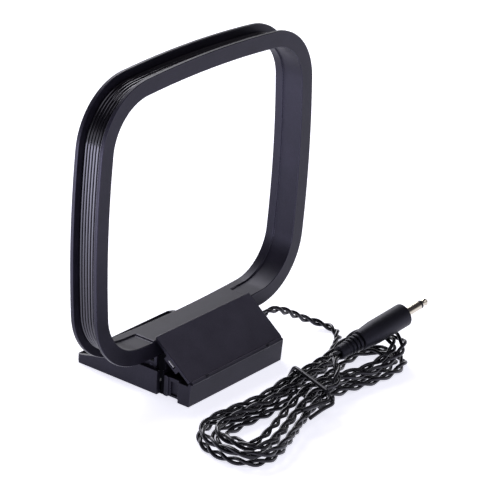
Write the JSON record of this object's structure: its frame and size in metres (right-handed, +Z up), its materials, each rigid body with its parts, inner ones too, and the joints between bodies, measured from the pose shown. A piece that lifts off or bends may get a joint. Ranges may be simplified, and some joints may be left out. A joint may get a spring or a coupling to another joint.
{
  "type": "loop antenna",
  "caption": "Indoor loop antenna: a wound rounded-square frame that lifts out of a tray stand with a hinged sloping panel, and a tied twisted lead ending in a jack plug.",
  "frame": {"origin": "on the floor under the middle of the stand, from knuckle front to rear edge", "axes": "+X along the loop's width, +Y from the stand's front panel to its tray, +Z up"},
  "size_m": [0.1469, 0.1108, 0.1337],
  "materials": {
    "frame_plastic": "fine-grained moulded plastic, dark grey",
    "winding_enamel": "glossy black wire insulation",
    "lead_sheath": "satin black wire insulation",
    "tie_sheath": "satin black coated wire",
    "plug_rubber": "matte black moulding",
    "premould_plastic": "hard natural plastic",
    "nickel": "polished nickel plate",
    "insulator_plastic": "black insulating plastic"
  },
  "bodies": {
    "stand": {"stand_base": "frame_plastic", "lead_run": "lead_sheath", "lead_hank": "lead_sheath", "lead_tail": "lead_sheath", "hank_tie": "tie_sheath", "plug_overmould": "plug_rubber", "plug_premould": "premould_plastic", "plug_sleeve": "nickel", "plug_insulator": "insulator_plastic", "plug_tip": "nickel"},
    "loop": {"loop_frame": "frame_plastic", "loop_winding": "winding_enamel", "winding_start_tail": "winding_enamel", "winding_end_tail": "winding_enamel"},
    "panel": {"prop_panel": "frame_plastic"}
  },
  "joints": [
    {"name": "loop_lift", "type": "slide", "parent": "stand", "child": "loop", "axis": [0, 0, 1], "range_m": [0, 0.014]},
    {"name": "panel_swing", "type": "hinge", "parent": "stand", "child": "panel", "pos_m": [0, -0.0286, 0.0098], "axis": [1, 0, 0], "range_deg": [0, 100]}
  ]
}
